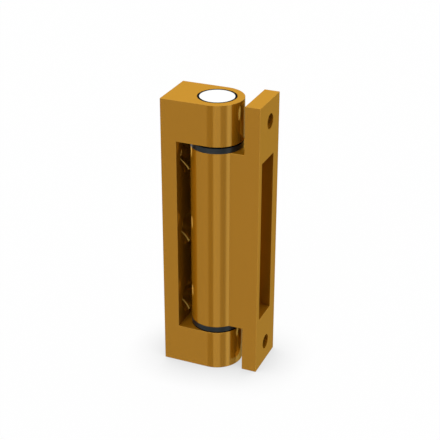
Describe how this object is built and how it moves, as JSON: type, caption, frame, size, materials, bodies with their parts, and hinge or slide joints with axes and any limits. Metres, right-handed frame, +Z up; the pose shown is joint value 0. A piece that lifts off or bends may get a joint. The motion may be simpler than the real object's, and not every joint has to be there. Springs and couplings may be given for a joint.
{
  "type": "lift-off hinge with a drawn pin",
  "caption": "Block door hinge in gold-coloured metal: a C-shaped frame holds a barrelled leaf between its ears on a pin that is drawn out upwards so the leaf can be taken off.",
  "frame": {"origin": "centre of the frame's row of screw holes, on its mounting face, at mid-height", "axes": "+X from the frame's mounting face to the leaf's mounting face, +Z up along the pin, -Y is the front"},
  "size_m": [0.0406, 0.0255, 0.12],
  "materials": {
    "gold_metal": "gold anodised, satin gloss",
    "polished_steel": "ground and polished",
    "black_polymer": "matt black bearing polymer",
    "washer_polymer": "satin blue-black bearing polymer"
  },
  "bodies": {
    "frame": {"frame": "gold_metal", "upper_bush": "black_polymer", "lower_bush": "black_polymer", "lower_washer": "washer_polymer"},
    "leaf": {"leaf": "gold_metal", "upper_washer": "washer_polymer"},
    "pin": {"pin": "polished_steel"}
  },
  "joints": [
    {"name": "leaf_swing", "type": "hinge", "parent": "frame", "child": "leaf", "pos_m": [0.0198, 0, 0], "axis": [0, 0, 1], "range_deg": [-110, 60]},
    {"name": "pin_draw", "type": "slide", "parent": "leaf", "child": "pin", "axis": [0, 0, 1], "range_m": [0, 0.12]}
  ]
}
